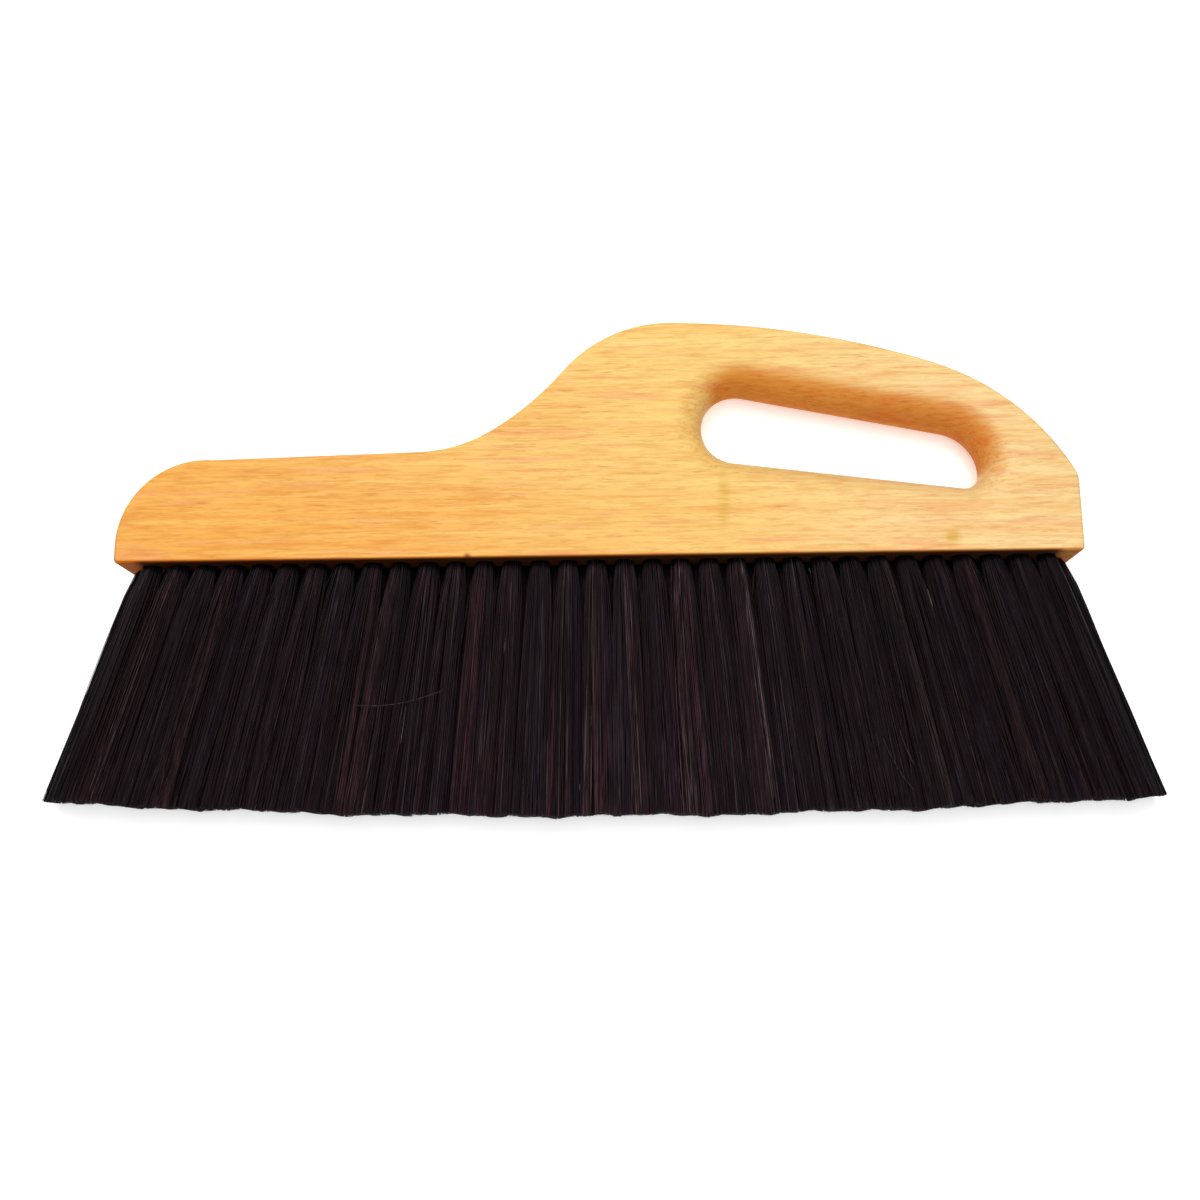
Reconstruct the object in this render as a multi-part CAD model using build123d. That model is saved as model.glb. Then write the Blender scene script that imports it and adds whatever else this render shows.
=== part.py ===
from build123d import *
from math import atan2, cos, sin
import os

# A flat wooden bee brush that lies on its rear face. Lengths are in millimetres.
# +X runs along the stock towards the grip, +Y from the hair up to the grip's back, +Z through the thickness.
# Outlines are drawn with the stock's underside on y = 0, and centre_shift then centres the whole brush on the origin.

# Stock
block_length = 313.0
thickness = 21.5
grip_height = 80.0
edge_round = 1.2
corner_round = 1.5

# Outline, clockwise from the foot of the nose; each arc leaves the last one without a kink
nose_straight = 6.2
nose_top = (-125.5, 34.6)
shoulder_end = (-57.8, 36.3)
neck_arc_ends = [(-34.7, 43.0), (-10.4, 63.7), (25.5, grip_height)]
back_arc_ends = [(110.9, 65.0), (155.3, 27.5), (block_length / 2, 22.6)]

# Finger slot: its four corners before rounding, with the radius of each, and the rounding of its rims
slot_corners = [(35.4, 59.9), (126.0, 41.2), (127.2, 22.7), (35.4, 34.6)]
slot_corner_radii = [11.6, 14.6, 5.6, 11.6]
slot_roundover = 10.5

# Tufts
front_count = 33
rear_count = front_count + 1
rear_per_node = 2
pitch = 9.1
row_offset = 4.0
fan_radius = 465.0
hole_radius = 2.7
hole_depth = 12.0
root_gap = 0.05
collar = 1.2
flare_reach = 92.0
tip_radius = 4.5
hair_length = 82.5
trim_radius = 2600.0

# Anchors: flat wire, set across the grain
anchor_length = 6.1
anchor_width = 1.8
anchor_gauge = 0.35
anchor_depth = 9.6

centre_shift = Pos(0, (hair_length - grip_height) / 2, 0)


def block_outline():
    """Face of the stock, neck and grip, without the slot."""
    foot = (-block_length / 2, 0)
    nose_start = (-block_length / 2, nose_straight)
    edges = [Line(foot, nose_start)]
    edges.append(TangentArc(nose_start, nose_top, tangent=edges[-1] % 1))
    edges.append(Line(nose_top, shoulder_end))
    for arc_end in neck_arc_ends + back_arc_ends:
        edges.append(TangentArc(edges[-1] @ 1, arc_end, tangent=edges[-1] % 1))
    edges.append(Line(back_arc_ends[-1], (block_length / 2, 0)))
    edges.append(Line((block_length / 2, 0), foot))
    return make_face(edges)


def finger_slot():
    """Face of the slot."""
    return make_face(FilletPolyline(*slot_corners, radius=slot_corner_radii, close=True))


def tuft_plane(x, z):
    """Plane at a hole's mouth. Its normal runs out of the hole, along the hair, and its y is the brush's +Z."""
    lean = atan2(x, fan_radius)
    return Plane(origin=(x, 0, z), x_dir=(cos(lean), sin(lean), 0), z_dir=(sin(lean), -cos(lean), 0))


def peg(radius, depth, top):
    """Round-ended cylinder that reaches from depth below the mouth to top above it."""
    bottom = radius - depth
    shank = Pos(0, 0, (top + bottom) / 2) * Cylinder(radius, top - bottom)
    return shank + Pos(0, 0, bottom) * Sphere(radius)


def anchor(plane):
    """One strip of flat wire, on edge, that crosses the hole and bites into the wood at both ends."""
    strip = Box(anchor_gauge, anchor_length, anchor_width)
    return plane * Pos(0, 0, -anchor_depth) * strip


def tuft(plane):
    """One bundle of hair: the folded root in its hole, and the flare that the trim line cuts off."""
    root_radius = hole_radius - root_gap
    root = peg(root_radius, hole_depth - root_gap, collar)
    flare = Pos(0, 0, collar + flare_reach / 2) * Cone(root_radius, tip_radius, flare_reach)
    trim = Pos(0, trim_radius - hair_length, thickness / 2) * Cylinder(trim_radius, 2 * thickness)
    return (plane * (root + flare) & trim) - anchor(plane)


def row_planes(count, z):
    """Planes of one row's holes, from -X to +X."""
    first = -pitch * (count - 1) / 2
    return [tuft_plane(first + i * pitch, z) for i in range(count)]


def handle_block(planes):
    """The wooden stock, with its slot, its rounded edges, its tuft holes and the bite of each anchor."""
    block = extrude(block_outline(), thickness)
    foot_edges = block.edges().filter_by(Axis.Z).group_by(Axis.Y)[0]
    block = fillet(foot_edges, corner_round)
    block = fillet(block.faces().filter_by(Axis.Z).edges(), edge_round)
    block -= extrude(finger_slot(), thickness)
    slot_edges = [
        edge
        for face in block.faces().filter_by(Axis.Z)
        for wire in face.inner_wires()
        for edge in wire.edges()
    ]
    block = fillet(slot_edges, slot_roundover)
    for plane in planes:
        block -= plane * peg(hole_radius, hole_depth, collar)
        block -= anchor(plane)
    return block


def save(name, *solids):
    """Write one node's STEP file, with the brush centred on the origin."""
    node = Compound(children=[centre_shift * solid for solid in solids], label=name)
    export_step(node, f"parts/{name}.step")


os.makedirs("parts", exist_ok=True)
front_planes = row_planes(front_count, thickness / 2 + row_offset)
rear_planes = row_planes(rear_count, thickness / 2 - row_offset)

save("handle_block", handle_block(front_planes + rear_planes))
save("tuft_anchors", *[anchor(plane) for plane in front_planes + rear_planes])
for number, plane in enumerate(front_planes, 1):
    save(f"front_tuft_{number:02d}", tuft(plane))
for first in range(0, rear_count, rear_per_node):
    group = [tuft(plane) for plane in rear_planes[first:first + rear_per_node]]
    save(f"rear_tufts_{first + 1:02d}_{first + rear_per_node:02d}", *group)
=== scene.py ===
from math import cos, pi, radians, sin

import bpy
import numpy as np
from mathutils import Euler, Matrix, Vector


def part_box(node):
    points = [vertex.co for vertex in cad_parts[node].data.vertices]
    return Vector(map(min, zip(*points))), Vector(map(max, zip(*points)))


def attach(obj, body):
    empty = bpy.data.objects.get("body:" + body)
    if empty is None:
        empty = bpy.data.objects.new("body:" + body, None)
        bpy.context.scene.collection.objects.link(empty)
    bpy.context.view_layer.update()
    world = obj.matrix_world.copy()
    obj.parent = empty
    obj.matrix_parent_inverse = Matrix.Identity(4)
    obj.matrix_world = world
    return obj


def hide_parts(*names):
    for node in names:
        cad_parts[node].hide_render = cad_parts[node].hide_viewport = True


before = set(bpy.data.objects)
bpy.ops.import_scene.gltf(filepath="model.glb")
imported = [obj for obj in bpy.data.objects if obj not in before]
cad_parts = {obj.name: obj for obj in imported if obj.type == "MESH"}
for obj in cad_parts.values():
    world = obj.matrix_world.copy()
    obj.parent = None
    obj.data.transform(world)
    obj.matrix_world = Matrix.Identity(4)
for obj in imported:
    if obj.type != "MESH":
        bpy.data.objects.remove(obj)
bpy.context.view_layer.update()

# The brush lies on its rear face: +X towards the grip, -Y along the hair, +Z up through the thickness.
# Lengths are in metres. The stock's box gives the underside, which the hair grows from, and the thickness.
MM = 0.001
stock_low, stock_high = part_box("handle_block")
underside = stock_low.y
thickness = stock_high.z
hair_tips = min(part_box(name)[0].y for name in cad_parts)
hair_length = underside - hair_tips

# Drilling, as the stock has it
front_count = 33
rear_count = 34
pitch = 9.1 * MM
row_offset = 4.0 * MM
fan_radius = 465 * MM
hole_radius = 2.7 * MM

# Strands: how many, and their shape. The rings are closer together near the root.
seed = 41
strands_per_tuft = 250
end_strands = 380
strand_sides = 3
strand_radius = 0.17 * MM
strand_radius_range = (0.75, 1.25)
strand_taper = 0.25
strand_rings = 10
ring_crowding = 1.35
last_ring = 0.995

# Spread of a tuft, from its hole to its tips
root_sunk = 2.5 * MM
root_spread = 0.90
tip_spread = (6.4 * MM, 4.8 * MM)
tip_scatter = 0.5 * MM
tuft_bow = 0.6 * MM
bow_flatness = 0.5
locks_per_tuft = 11
lock_centre_reach = 0.85
lock_pull = 0.45
bloom_length = 3.5 * MM
front_bloom = 1.3 * MM
rear_bloom = 3.0 * MM
end_bloom = 0.5
stray_share = 0.03
stray_scatter = 1.4 * MM
stray_bow = 1.2 * MM
rear_clearance = 0.35 * MM
front_clearance = 0.25 * MM

# The outermost tufts, whose holes are past end_start, have no strays and a straight outer side
end_start = 138 * MM
end_calm = 0.6
end_root_width = 2.0 * MM
end_width = 4.1 * MM

# The cut across the tips. Each wave is its length, phase and size.
trim_radius = 3000 * MM
trim_tilt = 0.004
trim_height = 0.6 * MM
trim_waves = [(61 * MM, 0.4, 0.35 * MM), (23 * MM, 2.1, 0.25 * MM), (9.7 * MM, 1.0, 0.2 * MM)]
cut_scatter = 0.2 * MM
short_share = 0.08
short_by = (0.5 * MM, 7 * MM)

# Tones of single hairs and how common each is, and how they vary from lock to lock and along the brush
tones = [
    ((0.0035, 0.0028, 0.0034), 0.38),
    ((0.0060, 0.0045, 0.0100), 0.14),
    ((0.0180, 0.0058, 0.0082), 0.20),
    ((0.0340, 0.0125, 0.0130), 0.10),
    ((0.0200, 0.0150, 0.0150), 0.11),
    ((0.0540, 0.0340, 0.0310), 0.07),
]
lock_likeness = 0.6
lock_light_range = (0.55, 1.5)
strand_light_range = (0.6, 1.5)
end_light = 0.35
middle_gain = 2.8
middle_reach = 62 * MM

# Near the wood, painted light and shade: the heart of a front tuft is painted lighter than its rim and the
# rear row
heart_width = 0.55
rear_heart = -0.8
heart_gain = 1.3
heart_reach = 32 * MM
darkest_shade = 0.12

# Loose hairs that lie across the fan, in millimetres: the node each belongs to, then its foot, middle and tip
loose_hairs = [
    ("front_tuft_26", [(89.1, -57.8, 20.4), (92.4, -67.5, 20.6), (98.1, -74.4, 20.4)]),
    ("front_tuft_26", [(94.6, -55.4, 20.4), (95.6, -61.0, 20.6), (98.6, -66.5, 20.3)]),
    ("front_tuft_11", [(-77.1, -45.7, 20.4), (-63.0, -47.6, 20.6), (-46.8, -40.6, 20.4)]),
]
loose_tone = (0.034, 0.023, 0.026)

# Marks on the wood: smudges as (centre, half size, strength), the centres of the nicks, and the arc that the
# router left beside the slot's heel end, with the patch that it shows in as (centre, half size)
smudges = [
    ((0.0415, 0.0195, thickness), (0.0032, 0.0130, 0.0050), 1.00),
    ((0.1145, 0.0060, thickness), (0.0038, 0.0045, 0.0050), 0.95),
]
nicks = [(-0.0414, 0.0021, thickness)]
nick_size = (0.0017, 0.0013, 0.0020)
arc_centre = (0.1081, 0.0411)
arc_radius = 0.0191
arc_width = 0.0008
arc_patch = ((0.1228, 0.0305, thickness), (0.0075, 0.0095, 0.0060))

# The way that the faces with painted shade look: towards the hair and a little towards the nose
shaded_direction = (-0.42, -0.91, 0.0)


def new_material(name):
    """An empty node material: (material, node tree, Principled node)."""
    material = bpy.data.materials.new(name)
    material.use_nodes = True
    tree = material.node_tree
    tree.nodes.clear()
    output = tree.nodes.new("ShaderNodeOutputMaterial")
    shader = tree.nodes.new("ShaderNodeBsdfPrincipled")
    tree.links.new(shader.outputs["BSDF"], output.inputs["Surface"])
    return material, tree, shader


def object_coordinates(tree):
    """The piece's own coordinates, which are the frame's, in metres."""
    return tree.nodes.new("ShaderNodeTexCoord").outputs["Object"]


def split(tree, place):
    """The outputs X, Y and Z of a place."""
    node = tree.nodes.new("ShaderNodeSeparateXYZ")
    tree.links.new(place, node.inputs["Vector"])
    return node.outputs


def stretched(tree, source, size_mm):
    """Coordinates in which one unit is size_mm along each axis."""
    mapping = tree.nodes.new("ShaderNodeMapping")
    mapping.inputs["Scale"].default_value = [1 / (size * MM) for size in size_mm]
    tree.links.new(source, mapping.inputs["Vector"])
    return mapping.outputs["Vector"]


def noise(tree, source, size_mm, detail=2.0, roughness=0.5, distortion=0.0):
    """A 3-D noise whose grains are about size_mm long along each axis."""
    texture = tree.nodes.new("ShaderNodeTexNoise")
    texture.inputs["Scale"].default_value = 1.0
    texture.inputs["Detail"].default_value = detail
    texture.inputs["Roughness"].default_value = roughness
    texture.inputs["Distortion"].default_value = distortion
    tree.links.new(stretched(tree, source, size_mm), texture.inputs["Vector"])
    return texture.outputs["Fac"]


def ramp(tree, value, low, high, out_low=0.0, out_high=1.0):
    """value, taken from low..high to out_low..out_high and held there outside."""
    node = tree.nodes.new("ShaderNodeMapRange")
    node.interpolation_type = "SMOOTHSTEP"
    node.inputs["From Min"].default_value = low
    node.inputs["From Max"].default_value = high
    node.inputs["To Min"].default_value = out_low
    node.inputs["To Max"].default_value = out_high
    tree.links.new(value, node.inputs["Value"])
    return node.outputs["Result"]


def calc(tree, operation, a, b=0.0):
    """One Math node. a is a socket; b is a socket or a number."""
    node = tree.nodes.new("ShaderNodeMath")
    node.operation = operation
    tree.links.new(a, node.inputs[0])
    if isinstance(b, (int, float)):
        node.inputs[1].default_value = b
    else:
        tree.links.new(b, node.inputs[1])
    return node.outputs["Value"]


def vector_calc(tree, operation, a, b=(0.0, 0.0, 0.0)):
    """One Vector Math node. a is a socket and b three numbers."""
    node = tree.nodes.new("ShaderNodeVectorMath")
    node.operation = operation
    node.inputs[1].default_value = b
    tree.links.new(a, node.inputs[0])
    return node.outputs["Value" if operation in ("LENGTH", "DOT_PRODUCT") else "Vector"]


def mix(tree, factor, a, b, blend="MIX"):
    """A colour mix. a and b are sockets or colours."""
    node = tree.nodes.new("ShaderNodeMix")
    node.data_type = "RGBA"
    node.blend_type = blend
    tree.links.new(factor, node.inputs["Factor"])
    for socket, value in ((node.inputs[6], a), (node.inputs[7], b)):
        if isinstance(value, tuple):
            socket.default_value = (*value, 1.0)
        else:
            tree.links.new(value, socket)
    return node.outputs[2]


def spot(tree, place, centre, half_size):
    """1 at centre, falling to 0 on an ellipsoid of half_size."""
    offset = vector_calc(tree, "SUBTRACT", place, centre)
    distance = vector_calc(tree, "LENGTH", vector_calc(tree, "DIVIDE", offset, half_size))
    return ramp(tree, distance, 1.0, 0.15)


def circle_line(tree, place, centre, radius, width):
    """1 on a circle about an axis along Z, falling to 0 at width from it."""
    offset = vector_calc(tree, "SUBTRACT", place, (*centre, 0.0))
    distance = vector_calc(tree, "LENGTH", vector_calc(tree, "MULTIPLY", offset, (1.0, 1.0, 0.0)))
    from_circle = calc(tree, "ABSOLUTE", calc(tree, "SUBTRACT", distance, radius))
    return ramp(tree, from_circle, width, 0.0)


def board_colour(tree, place, along, up):
    """Broad colour: orange at the nose, paler towards the heel and the grip's back, pinkish at the heel."""
    orange = (0.81, 0.372, 0.064)
    straw = (0.83, 0.600, 0.200)
    pinkish = (0.84, 0.620, 0.330)
    cloud = noise(tree, place, (90, 22, 20), detail=2)
    pale = calc(tree, "ADD", calc(tree, "MULTIPLY", along, 0.60), calc(tree, "MULTIPLY", up, 0.22))
    pale = calc(tree, "ADD", pale, calc(tree, "MULTIPLY", cloud, 0.36))
    colour = mix(tree, ramp(tree, pale, 0.03, 0.90), orange, straw)
    return mix(tree, ramp(tree, along, 0.66, 1.0, 0.0, 0.65), colour, pinkish)


def grain(tree, place, along, fibre, colour):
    """colour with growth bands, pink patches and two sizes of fibre. The dark lines fade towards the heel."""
    contrast = ramp(tree, along, 0.05, 0.60, 1.0, 0.75)
    bands = noise(tree, place, (120, 3.4, 6.5), detail=3, roughness=0.6, distortion=0.3)
    dark = calc(tree, "MULTIPLY", ramp(tree, bands, 0.40, 0.66, 0.0, 0.34), contrast)
    colour = mix(tree, dark, colour, (0.77, 0.330, 0.055))
    light_bands = noise(tree, place, (130, 2.2, 5.0), detail=2, roughness=0.6)
    colour = mix(tree, ramp(tree, light_bands, 0.48, 0.76, 0.0, 0.35), colour, (0.87, 0.60, 0.18))
    pink = noise(tree, place, (30, 2.4, 6.0), detail=2)
    colour = mix(tree, ramp(tree, pink, 0.54, 0.70, 0.0, 0.55), colour, (0.80, 0.37, 0.16))
    dark = calc(tree, "MULTIPLY", ramp(tree, fibre, 0.34, 0.58, 0.42, 0.0), contrast)
    colour = mix(tree, dark, colour, (0.60, 0.170, 0.016))
    strands = noise(tree, place, (7, 1.2, 1.6), detail=2)
    dark = calc(tree, "MULTIPLY", ramp(tree, strands, 0.28, 0.48, 0.32, 0.0), contrast)
    return mix(tree, dark, colour, (0.62, 0.200, 0.020))


def pores(tree, place):
    """Masks of the dark dashes along the grain: coarse ones, which gather in patches, and fine ones."""
    dashes = ramp(tree, noise(tree, place, (7.0, 0.45, 0.6), detail=1), 0.62, 0.76)
    gather = ramp(tree, noise(tree, place, (45, 7, 9), detail=1), 0.38, 0.62, 0.15, 1.0)
    fine = ramp(tree, noise(tree, place, (3.0, 0.3, 0.35), detail=1), 0.58, 0.78)
    return calc(tree, "MULTIPLY", dashes, gather), fine


def board_marks(tree, place, fibre, colour):
    """colour with this board's marks: brown smudges across the grain, nicks and the router's arc."""
    patchy = ramp(tree, fibre, 0.35, 0.60, 1.0, 0.35)
    for centre, half_size, strength in smudges:
        stain = calc(tree, "MULTIPLY", spot(tree, place, centre, half_size), patchy)
        colour = mix(tree, calc(tree, "MULTIPLY", stain, strength), colour, (0.62, 0.340, 0.045))
    for centre in nicks:
        colour = mix(tree, spot(tree, place, centre, nick_size), colour, (0.40, 0.14, 0.04))
    arc = circle_line(tree, place, arc_centre, arc_radius, arc_width)
    arc = calc(tree, "MULTIPLY", arc, spot(tree, place, *arc_patch))
    return mix(tree, calc(tree, "MULTIPLY", arc, 0.8), colour, (0.42, 0.190, 0.050))


def wood_material():
    """Pale straight-grained hardwood, grain along X, under a thin satin lacquer."""
    material, tree, shader = new_material("lacquered_wood")
    place = object_coordinates(tree)
    axes = split(tree, place)
    along = ramp(tree, axes["X"], stock_low.x, stock_high.x)
    up = ramp(tree, axes["Y"], stock_low.y, stock_high.y)
    fibre = noise(tree, place, (12, 0.75, 1.0), detail=4, roughness=0.62)
    colour = board_colour(tree, place, along, up)
    colour = grain(tree, place, along, fibre, colour)
    dashes, fine = pores(tree, place)
    colour = mix(tree, calc(tree, "MULTIPLY", dashes, 0.50), colour, (0.45, 0.145, 0.025))
    colour = mix(tree, calc(tree, "MULTIPLY", fine, 0.26), colour, (0.52, 0.190, 0.030))
    colour = board_marks(tree, place, fibre, colour)

    # Painted shade on the routed and sawn faces that look towards the hair and the nose, such as the slot's
    # upper wall; these faces are made rougher too
    normal = tree.nodes.new("ShaderNodeTexCoord").outputs["Normal"]
    shaded_faces = ramp(tree, vector_calc(tree, "DOT_PRODUCT", normal, shaded_direction), 0.0, 0.60, 0.0, 0.95)
    colour = mix(tree, shaded_faces, colour, (0.81, 0.43, 0.155), blend="MULTIPLY")

    # Painted shade on the drilled underside between the tufts, paler past the last ones
    low = ramp(tree, axes["Y"], underside + 0.9 * MM, underside + 0.1 * MM)
    from_middle = calc(tree, "ABSOLUTE", axes["X"])
    low = calc(tree, "MULTIPLY", low, ramp(tree, from_middle, 147 * MM, 151 * MM, 0.95, 0.15))
    colour = mix(tree, low, colour, (0.070, 0.055, 0.110), blend="MULTIPLY")
    tree.links.new(colour, shader.inputs["Base Color"])

    rough = calc(tree, "ADD", ramp(tree, fibre, 0.3, 0.7, 0.50, 0.40), calc(tree, "MULTIPLY", dashes, 0.15))
    rough = calc(tree, "ADD", rough, calc(tree, "MULTIPLY", shaded_faces, 0.35))
    tree.links.new(rough, shader.inputs["Roughness"])
    shader.inputs["Specular IOR Level"].default_value = 0.12

    bump = tree.nodes.new("ShaderNodeBump")
    bump.inputs["Strength"].default_value = 0.35
    bump.inputs["Distance"].default_value = 0.08 * MM
    height = calc(tree, "SUBTRACT", calc(tree, "MULTIPLY", fibre, 0.5), dashes)
    tree.links.new(height, bump.inputs["Height"])
    tree.links.new(bump.outputs["Normal"], shader.inputs["Normal"])
    return material


def hair_material():
    """Horsehair: each strand has its own tone, patchy along it, with painted shade at the wood, and paler at
    the tip.
    """
    material, tree, shader = new_material("horsehair")
    place = object_coordinates(tree)
    y = split(tree, place)["Y"]
    tone = tree.nodes.new("ShaderNodeAttribute")
    tone.attribute_name = "strand_tone"
    patches = noise(tree, place, (1.2, 16, 1.6), detail=3, roughness=0.6)
    dark = ramp(tree, patches, 0.38, 0.62, 0.85, 0.0)
    colour = mix(tree, dark, tone.outputs["Color"], (0.003, 0.0024, 0.003))
    towards_tips = ramp(tree, y, underside - 20 * MM, hair_tips + 8 * MM)
    colour = mix(tree, towards_tips, colour, (1.6, 1.5, 1.65), blend="MULTIPLY")
    # Painted shade on the hair just below the wood's lower edge
    painted_root_shade = ramp(tree, y, underside - 5 * MM, underside - 0.5 * MM, 0.0, 0.9)
    colour = mix(tree, painted_root_shade, colour, (0.15, 0.13, 0.16), blend="MULTIPLY")
    tree.links.new(colour, shader.inputs["Base Color"])
    tree.links.new(ramp(tree, patches, 0.3, 0.7, 0.52, 0.36), shader.inputs["Roughness"])
    shader.inputs["Specular IOR Level"].default_value = 0.22
    shader.inputs["Specular Tint"].default_value = (1.0, 0.70, 0.78, 1.0)
    return material


def wire_material():
    """Bare drawn steel: fine lines along the wire."""
    material, tree, shader = new_material("flat_wire")
    place = object_coordinates(tree)
    lines = noise(tree, place, (0.05, 0.05, 3.0), detail=3)
    colour = mix(tree, ramp(tree, lines, 0.3, 0.7), (0.38, 0.38, 0.37), (0.55, 0.55, 0.53))
    tree.links.new(colour, shader.inputs["Base Color"])
    tree.links.new(ramp(tree, lines, 0.3, 0.7, 0.45, 0.28), shader.inputs["Roughness"])
    shader.inputs["Metallic"].default_value = 1.0
    return material


def floor_material():
    """Plain pale studio floor, faintly lit from below as a light table is."""
    material, tree, shader = new_material("studio_floor")
    place = object_coordinates(tree)
    tone = noise(tree, place, (60, 60, 60), detail=2)
    colour = mix(tree, tone, (0.90, 0.90, 0.90), (0.93, 0.93, 0.93))
    tree.links.new(colour, shader.inputs["Base Color"])
    shader.inputs["Roughness"].default_value = 0.9
    shader.inputs["Specular IOR Level"].default_value = 0.1
    shader.inputs["Emission Color"].default_value = (1.0, 1.0, 1.0, 1.0)
    shader.inputs["Emission Strength"].default_value = 0.32
    return material


def trim_line(x):
    """Height of the cut across the tips at x: a wide arc, a little tilted, with a slight waver."""
    waver = 0
    for length, phase, size in trim_waves:
        waver = waver + size * np.sin(2 * pi * x / length + phase)
    return underside - hair_length + x * x / (2 * trim_radius) - trim_tilt * x + trim_height + waver


def tuft_spread(rng, at_end):
    """For each hair, seen across its tuft: its place in a unit disc, its lock, its start, end and bow."""
    count = end_strands if at_end else strands_per_tuft
    calm = end_calm if at_end else 1.0
    angle = rng.uniform(0, 2 * pi, count)
    radius = np.sqrt(rng.uniform(0, 1, count))
    disc = np.stack([radius * np.cos(angle), radius * np.sin(angle)], 1)

    # Towards the tips the hairs are drawn together into locks, except in the outermost tufts
    centres = rng.uniform(-lock_centre_reach, lock_centre_reach, (locks_per_tuft, 2))
    lock = np.argmin(((disc[:, None] - centres[None]) ** 2).sum(2), 1)
    gathered = disc + (0.0 if at_end else lock_pull) * (centres[lock] - disc)
    stray = (rng.random(count) < stray_share) & (not at_end)
    scatter = calm * (tip_scatter + stray * stray_scatter)
    start = disc * hole_radius * root_spread
    end = gathered * np.array(tip_spread) + rng.normal(0, 1, (count, 2)) * scatter[:, None]
    bow_way = rng.uniform(0, 2 * pi, count)
    bow_size = calm * rng.normal(0, 1, count) * (tuft_bow + stray * stray_bow)
    bow = bow_size[:, None] * np.stack([np.cos(bow_way), bow_flatness * np.sin(bow_way)], 1)
    return disc, lock, start, end, bow


def tuft_paths(rng, root, bloom):
    """Points along each hair of one tuft, from inside its hole to the trim line; its lock; and its heart.

    Heart is about 1 in the middle of a front tuft, and below 0 in its rim and in the rear row.
    """
    at_end = abs(root[0]) > end_start
    disc, lock, start, end, bow = tuft_spread(rng, at_end)
    count = len(lock)
    lean = np.arctan2(root[0], fan_radius)
    along = np.array([sin(lean), -cos(lean), 0.0])
    across = np.array([cos(lean), sin(lean), 0.0])
    through = np.array([0.0, 0.0, 1.0])
    mouth = np.array(root)
    foot = mouth - along * root_sunk
    full = hair_length / cos(lean)
    share = np.append(last_ring * np.linspace(0, 1, strand_rings - 1) ** ring_crowding, 1.0)

    # The hair springs outwards just below the wood, then fans out evenly
    bloom = bloom * (1 + end_bloom * (root[0] / stock_high.x) ** 2)
    spring = bloom * (1 - np.exp(-np.maximum(share * full - root_sunk, 0) / bloom_length)) * (1 - share)
    offset = start[:, None] + (end - start)[:, None] * share[None, :, None]
    offset = offset + disc[:, None] * spring[None, :, None] + bow[:, None] * np.sin(pi * share)[None, :, None]
    if at_end:
        outwards = np.sign(root[0])
        edge = end_root_width + (end_width - end_root_width) * share
        offset[:, :, 0] = outwards * np.minimum(outwards * offset[:, :, 0], edge[None])

    # Each hair is as long as the cut leaves it, and a few are shorter
    tip_x = mouth[0] + along[0] * full + across[0] * end[:, 0]
    cut = trim_line(tip_x) + np.abs(rng.normal(0, cut_scatter, count))
    short = rng.random(count) < short_share
    cut = cut + short * rng.uniform(*short_by, count)
    reach = (foot[1] - cut + across[1] * end[:, 0]) / -along[1]
    points = foot + along * (reach[:, None, None] * share[None, :, None])
    points = points + across * offset[:, :, :1] + through * offset[:, :, 1:]
    points[:, :, 2] = np.clip(points[:, :, 2], rear_clearance, thickness - front_clearance)

    heart = 2 * (heart_width - np.abs(disc[:, 0]))
    if root[2] < thickness / 2:
        heart = np.full(count, rear_heart)
    return points, lock, heart


def loose_paths(name):
    """Points along each loose hair that belongs to one node."""
    share = np.linspace(0, 1, strand_rings)[:, None]
    paths = []
    for owner, (foot, middle, tip) in loose_hairs:
        if owner == name:
            bend = 2 * share * (1 - share) * np.array(middle)
            paths.append((1 - share) ** 2 * np.array(foot) + bend + share ** 2 * np.array(tip))
    return np.array(paths).reshape(-1, strand_rings, 3) * MM


def strand_tones(rng, paths, locks, hearts):
    """A colour for each point of each hair: mostly its lock's, and lighter in the middle of the brush.

    Near the wood the heart of each front tuft gets painted light, and its rim and the rear row get painted
    shade.
    """
    shares = [share for _, share in tones]
    palette = np.array([tone for tone, _ in tones])
    of_lock = rng.choice(len(tones), locks.max() + 1, p=shares)[locks]
    own = rng.choice(len(tones), len(locks), p=shares)
    chosen = np.where(rng.random(len(locks)) < lock_likeness, of_lock, own)
    lock_light = rng.uniform(*lock_light_range, locks.max() + 1)[locks]
    middle = np.exp(-(paths[:, 0, 0] / middle_reach) ** 2)
    own_light = rng.uniform(*strand_light_range, len(locks))
    light = end_light * lock_light * own_light * (1 + middle_gain * middle)
    # Painted light in the hearts of the front tufts near the wood, painted shade in their rims and the rear
    # row
    height = np.linalg.norm(paths - paths[:, :1], axis=2)
    shade = 1 + heart_gain * hearts[:, None] * np.exp(-height / heart_reach)
    shade = np.maximum(shade, darkest_shade)
    return palette[chosen][:, None] * (light[:, None] * shade)[:, :, None]


def strand_corners(rng, paths):
    """The corners of each hair's rings: hairs, rings, corners, then the three coordinates."""
    count, rings, _ = paths.shape
    way = paths[:, -1] - paths[:, 0]
    way = way / np.linalg.norm(way, axis=1)[:, None]
    side = np.cross(way, [0.0, 0.0, 1.0])
    side = side / np.linalg.norm(side, axis=1)[:, None]
    top = np.cross(side, way)
    turn = rng.uniform(0, 2 * pi, count)
    taper = 1 - strand_taper * np.linspace(0, 1, rings) ** 2
    radius = strand_radius * rng.uniform(*strand_radius_range, count)[:, None] * taper[None]
    corners = []
    for j in range(strand_sides):
        angle = turn + 2 * pi * j / strand_sides
        spoke = np.cos(angle)[:, None] * side + np.sin(angle)[:, None] * top
        corners.append(paths + spoke[:, None] * radius[:, :, None])
    return np.stack(corners, 2)


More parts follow.
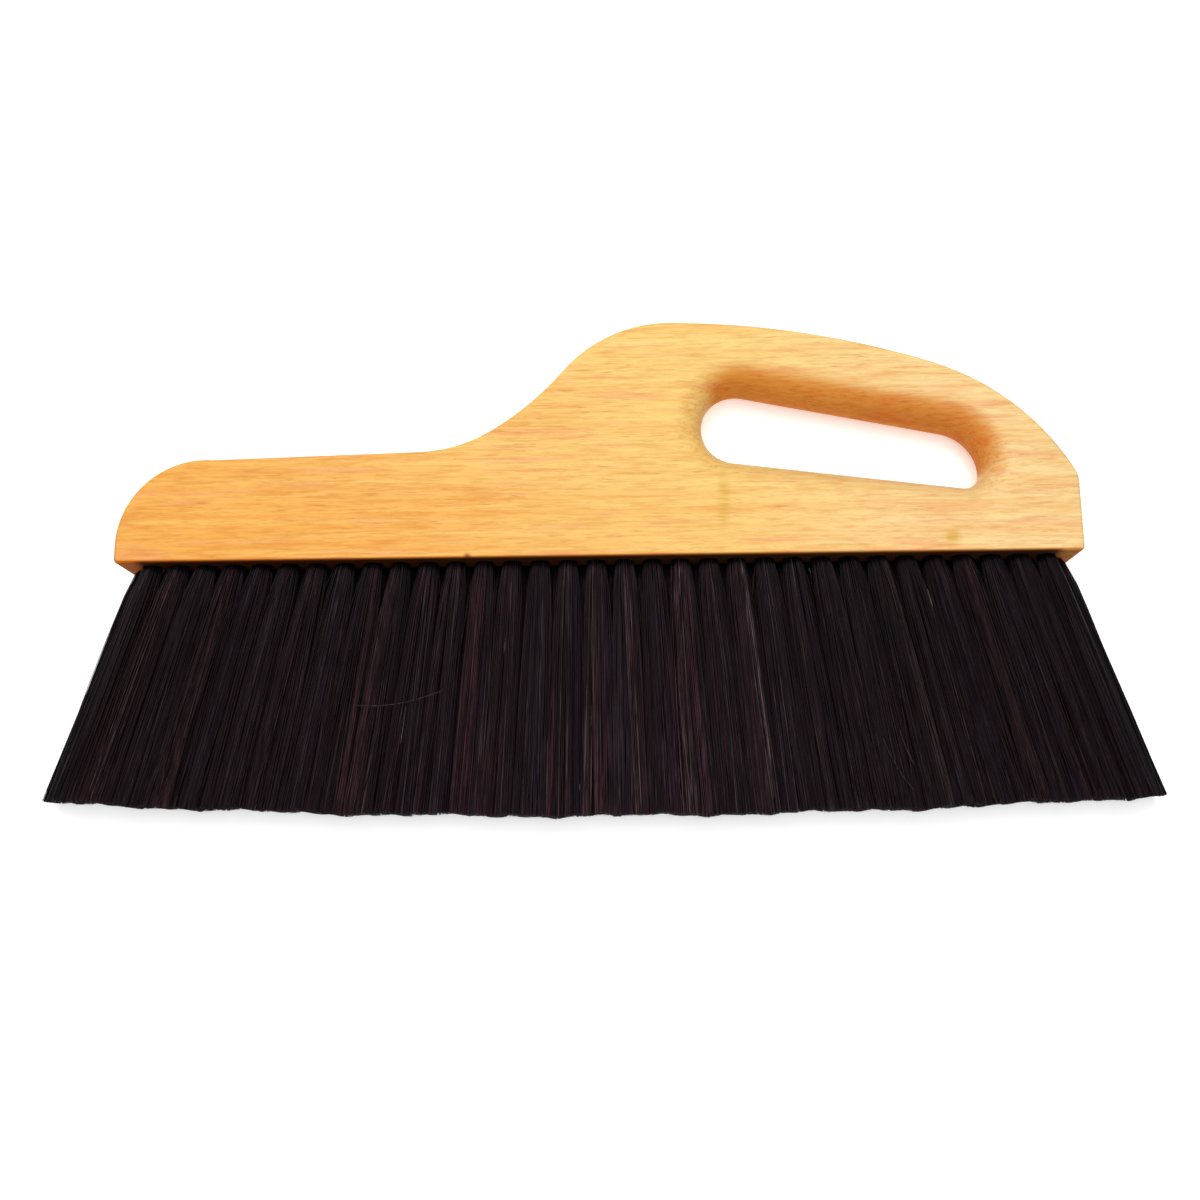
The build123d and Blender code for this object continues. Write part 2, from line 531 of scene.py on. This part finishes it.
def strand_faces(rings):
    """The faces of one hair, as indices into its corners: its sides ring by ring, then both ends."""
    faces = []
    for ring in range(rings - 1):
        for j in range(strand_sides):
            a = ring * strand_sides + j
            b = ring * strand_sides + (j + 1) % strand_sides
            faces.append((a, b, b + strand_sides, a + strand_sides))
    last = (rings - 1) * strand_sides
    faces.append(tuple(reversed(range(strand_sides))))
    faces.append(tuple(range(last, last + strand_sides)))
    return faces


def strand_mesh(name, rng, paths, point_tones):
    """One mesh of closed, tapered, three-sided hairs along paths, with a tone for each point of each path."""
    count, rings, _ = paths.shape
    points = strand_corners(rng, paths).reshape(-1, 3)
    faces = strand_faces(rings)
    first = (np.arange(count) * rings * strand_sides)[:, None]
    loops = (first + np.array([corner for face in faces for corner in face])[None]).ravel()
    sizes = np.tile([len(face) for face in faces], count)
    starts = np.concatenate([[0], np.cumsum(sizes)[:-1]])

    mesh = bpy.data.meshes.new(name)
    mesh.vertices.add(len(points))
    mesh.vertices.foreach_set("co", points.astype(np.float32).ravel())
    mesh.loops.add(len(loops))
    mesh.loops.foreach_set("vertex_index", loops.astype(np.int32))
    mesh.polygons.add(len(sizes))
    mesh.polygons.foreach_set("loop_start", starts.astype(np.int32))
    mesh.polygons.foreach_set("use_smooth", np.ones(len(sizes), bool))
    mesh.update(calc_edges=True)

    tone = mesh.color_attributes.new("strand_tone", "FLOAT_COLOR", "POINT")
    rgba = np.ones((len(points), 4), np.float32)
    rgba[:, :3] = np.repeat(point_tones.reshape(-1, 3), strand_sides, axis=0)
    tone.data.foreach_set("color", rgba.ravel())
    return mesh


def hair_piece(name, rng, roots, bloom, material):
    """Build the hair of one CAD node, which holds the tufts that grow from roots."""
    tufts = [tuft_paths(rng, root, bloom) for root in roots]
    paths = np.concatenate([points for points, _, _ in tufts])
    locks = np.concatenate([lock + i * locks_per_tuft for i, (_, lock, _) in enumerate(tufts)])
    hearts = np.concatenate([heart for _, _, heart in tufts])
    point_tones = strand_tones(rng, paths, locks, hearts)
    loose = loose_paths(name)
    point_tones = np.concatenate([point_tones, np.broadcast_to(loose_tone, loose.shape)])
    mesh = strand_mesh(name + "_hair", rng, np.concatenate([paths, loose]), point_tones)
    piece = bpy.data.objects.new(name + "_hair", mesh)
    bpy.context.scene.collection.objects.link(piece)
    piece.data.materials.append(material)
    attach(piece, "root")
    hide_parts(name)


def row_roots(count, z):
    """Centres of one row's hole mouths, from -X to +X."""
    first = -pitch * (count - 1) / 2
    return [(first + i * pitch, underside, z) for i in range(count)]


def grow_hair():
    """Every tuft of both rows."""
    material = hair_material()
    rng = np.random.default_rng(seed)
    front = row_roots(front_count, thickness / 2 + row_offset)
    rear = row_roots(rear_count, thickness / 2 - row_offset)
    for number, root in enumerate(front, 1):
        hair_piece(f"front_tuft_{number:02d}", rng, [root], front_bloom, material)
    for first in range(0, rear_count, 2):
        name = f"rear_tufts_{first + 1:02d}_{first + 2:02d}"
        hair_piece(name, rng, rear[first:first + 2], rear_bloom, material)


def finish_stock():
    """Wood on the CAD stock and bare steel on the wires sealed inside it."""
    for name, material in (("handle_block", wood_material()), ("tuft_anchors", wire_material())):
        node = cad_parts[name]
        node.data.materials.clear()
        node.data.materials.append(material)


def floor():
    """A wide pale floor just under the brush."""
    bpy.ops.mesh.primitive_plane_add(size=4.0, location=(0, 0, -0.2 * MM))
    plane = bpy.context.object
    plane.name = "studio_floor"
    plane.data.materials.append(floor_material())


def area_light(name, place, size, power):
    """A square white soft box at place, aimed at the middle of the brush."""
    data = bpy.data.lights.new(name, "AREA")
    data.shape = "SQUARE"
    data.size = size
    data.energy = power
    light = bpy.data.objects.new(name, data)
    light.location = place
    light.rotation_euler = (-Vector(place)).to_track_quat("-Z", "Y").to_euler()
    bpy.context.scene.collection.objects.link(light)


def studio():
    """Soft light from beyond the grip and from above, and a pale surround."""
    area_light("key_box", (-0.20, 0.70, 1.30), size=0.9, power=12)
    area_light("top_box", (0.05, -0.22, 1.50), size=1.2, power=18)
    world = bpy.data.worlds.new("studio_world")
    world.use_nodes = True
    surround = world.node_tree.nodes["Background"]
    surround.inputs["Color"].default_value = (1.0, 1.0, 1.0, 1.0)
    surround.inputs["Strength"].default_value = 0.12
    bpy.context.scene.world = world
    bpy.context.scene.view_settings.view_transform = "Standard"


def camera():
    """Nearly straight down on the front face, leaning 12 degrees from the hair's side."""
    data = bpy.data.cameras.new("camera")
    data.sensor_width = 36
    data.lens = 41.6
    data.clip_start = 0.01
    view = bpy.data.objects.new("camera", data)
    view.location = (10.4 * MM, underside - 104.6 * MM, 454.7 * MM)
    view.rotation_euler = Euler((radians(11.76), radians(1.31), radians(-0.49)))
    bpy.context.scene.collection.objects.link(view)
    bpy.context.scene.camera = view


camera()
studio()
floor()
finish_stock()
grow_hair()
